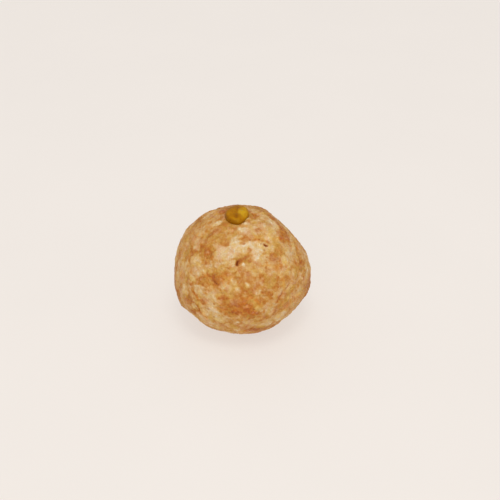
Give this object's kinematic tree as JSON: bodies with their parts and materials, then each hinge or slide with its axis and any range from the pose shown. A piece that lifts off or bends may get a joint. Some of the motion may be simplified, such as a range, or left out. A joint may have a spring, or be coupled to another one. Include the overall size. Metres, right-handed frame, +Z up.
{
  "type": "ladoo",
  "caption": "Round hand-pressed crumb sweet with a slightly flattened base and a slice of pistachio set in its crown.",
  "frame": {"origin": "middle of the box's lowest face, on the small flat spot that the ball rests on", "axes": "+Z up through the crown with the pistachio slice, -Y towards the front"},
  "size_m": [0.0446, 0.0446, 0.0402],
  "materials": {
    "pressed_crumb": "pressed sweet crumbs mottled in cream, tan and caramel, slightly moist with clarified butter",
    "pistachio": "waxy yellow-green nut flesh with a darker olive-brown skin at its rim"
  },
  "bodies": {
    "root": {"ladoo_ball": "pressed_crumb", "pistachio_slice": "pistachio"}
  },
  "joints": []
}
